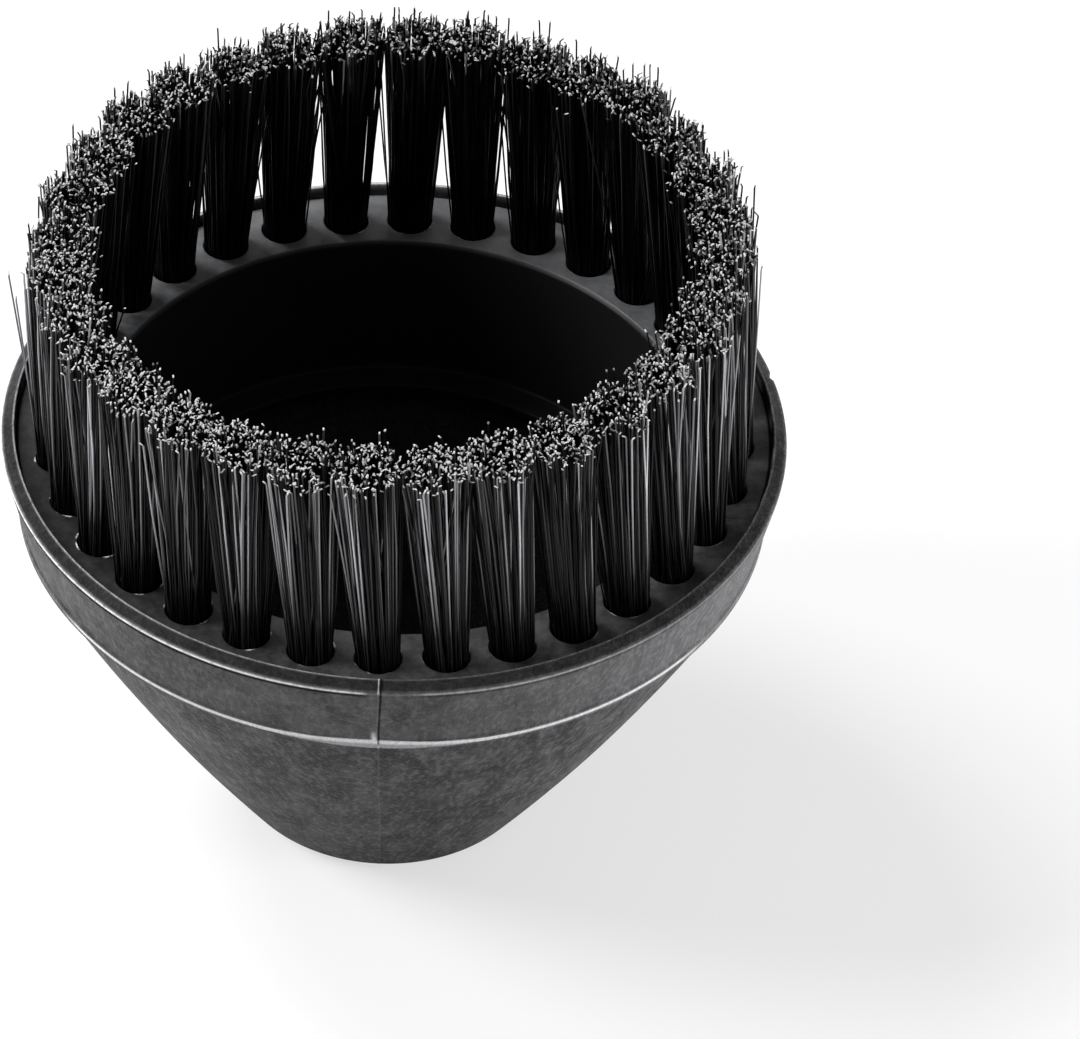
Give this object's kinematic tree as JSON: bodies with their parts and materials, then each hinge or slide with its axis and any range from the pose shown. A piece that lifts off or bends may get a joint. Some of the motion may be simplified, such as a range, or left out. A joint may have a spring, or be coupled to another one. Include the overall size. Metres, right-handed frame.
{
  "type": "vacuum dusting brush",
  "caption": "Round dusting brush head for a vacuum cleaner: a bell-shaped plastic body with a tube socket at its narrow end and a ring of flaring bristle tufts at its mouth.",
  "frame": {"origin": "centre of the socket end's flat face, which the brush stands on", "axes": "+Z along the brush's axis from the socket end to the bristle tips, -Y to the front"},
  "size_m": [0.095, 0.095, 0.0854],
  "materials": {
    "body_plastic": "matte, fine moulded grain",
    "ring_plastic": "matte",
    "bristle": "satin nylon filament",
    "anchor_wire": "drawn wire"
  },
  "bodies": {
    "root": {"bell_body": "body_plastic", "bristle_ring": "ring_plastic", "bristle_tuft_01": "bristle", "bristle_tuft_02": "bristle", "bristle_tuft_03": "bristle", "bristle_tuft_04": "bristle", "bristle_tuft_05": "bristle", "bristle_tuft_06": "bristle", "bristle_tuft_07": "bristle", "bristle_tuft_08": "bristle", "bristle_tuft_09": "bristle", "bristle_tuft_10": "bristle", "bristle_tuft_11": "bristle", "bristle_tuft_12": "bristle", "bristle_tuft_13": "bristle", "bristle_tuft_14": "bristle", "bristle_tuft_15": "bristle", "bristle_tuft_16": "bristle", "bristle_tuft_17": "bristle", "bristle_tuft_18": "bristle", "bristle_tuft_19": "bristle", "bristle_tuft_20": "bristle", "bristle_tuft_21": "bristle", "bristle_tuft_22": "bristle", "bristle_tuft_23": "bristle", "bristle_tuft_24": "bristle", "bristle_tuft_25": "bristle", "bristle_tuft_26": "bristle", "bristle_tuft_27": "bristle", "bristle_tuft_28": "bristle", "bristle_tuft_29": "bristle", "bristle_tuft_30": "bristle", "bristle_tuft_31": "bristle", "bristle_tuft_32": "bristle", "tuft_anchors": "anchor_wire"}
  },
  "joints": []
}
